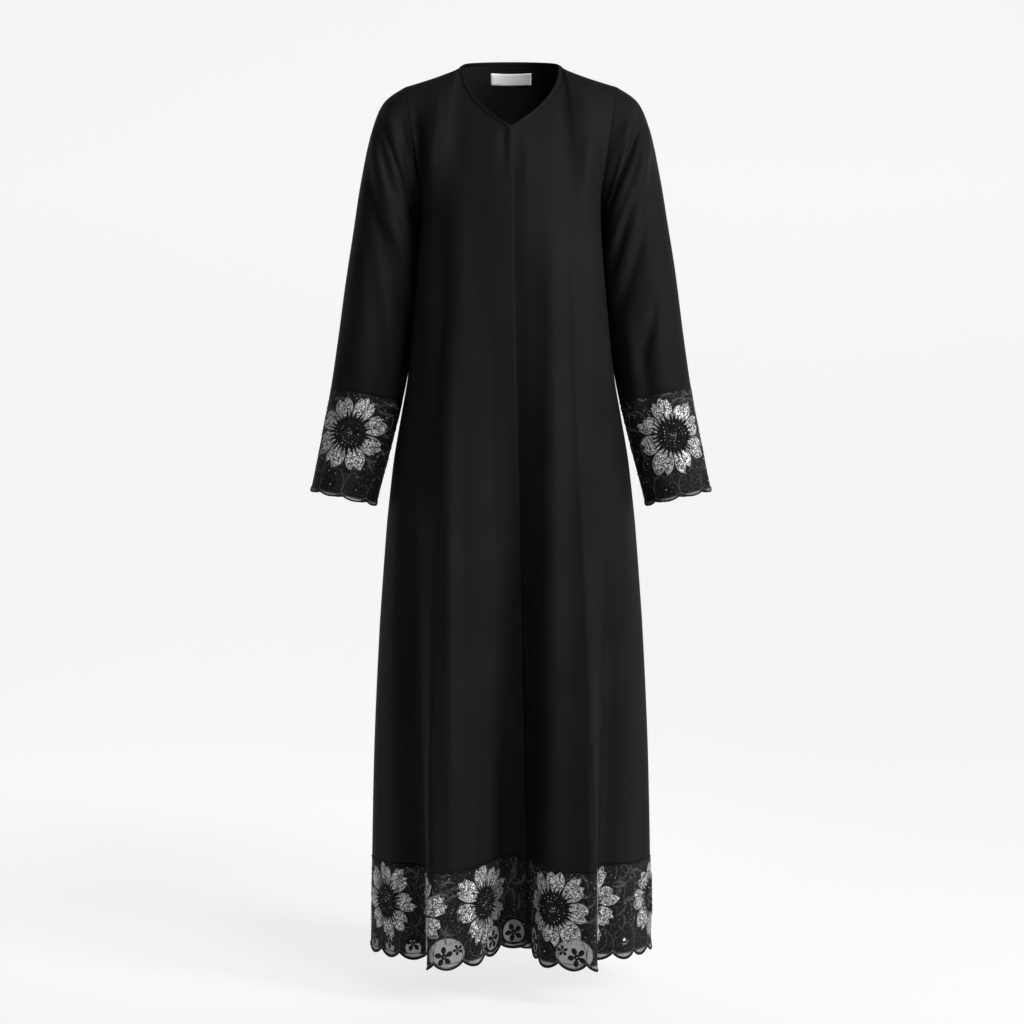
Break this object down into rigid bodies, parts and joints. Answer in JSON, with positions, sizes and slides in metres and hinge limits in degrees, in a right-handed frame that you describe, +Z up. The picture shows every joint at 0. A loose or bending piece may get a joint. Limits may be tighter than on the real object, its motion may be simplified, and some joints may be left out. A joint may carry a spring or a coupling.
{
  "type": "abaya cloak",
  "caption": "Floor-length black crepe abaya cloak, worn form, with long sleeves, a bound V neck and scalloped flower lace borders on the cuffs and the hem.",
  "frame": {"origin": "midway between the neck points of the two shoulder seams, where the wearer's shoulders carry the garment", "axes": "+X to the wearer's left, the front faces -Y, +Z up; the garment hangs down from the origin"},
  "size_m": [0.6202, 0.3489, 1.396],
  "materials": {
    "black_crepe": "matt black crepe",
    "black_lace": "black corded lace on net, with silver sequined flowers",
    "label_satin": "pale satin, blank"
  },
  "bodies": {
    "root": {"front_left": "black_crepe", "front_right": "black_crepe", "back": "black_crepe", "sleeve_left": "black_crepe", "sleeve_right": "black_crepe", "neck_binding": "black_crepe", "neck_label": "label_satin", "hem_lace_front_left": "black_lace", "hem_lace_front_right": "black_lace", "hem_lace_back": "black_lace", "cuff_lace_left_front": "black_lace", "cuff_lace_left_back": "black_lace", "cuff_lace_right_front": "black_lace", "cuff_lace_right_back": "black_lace"}
  },
  "joints": []
}
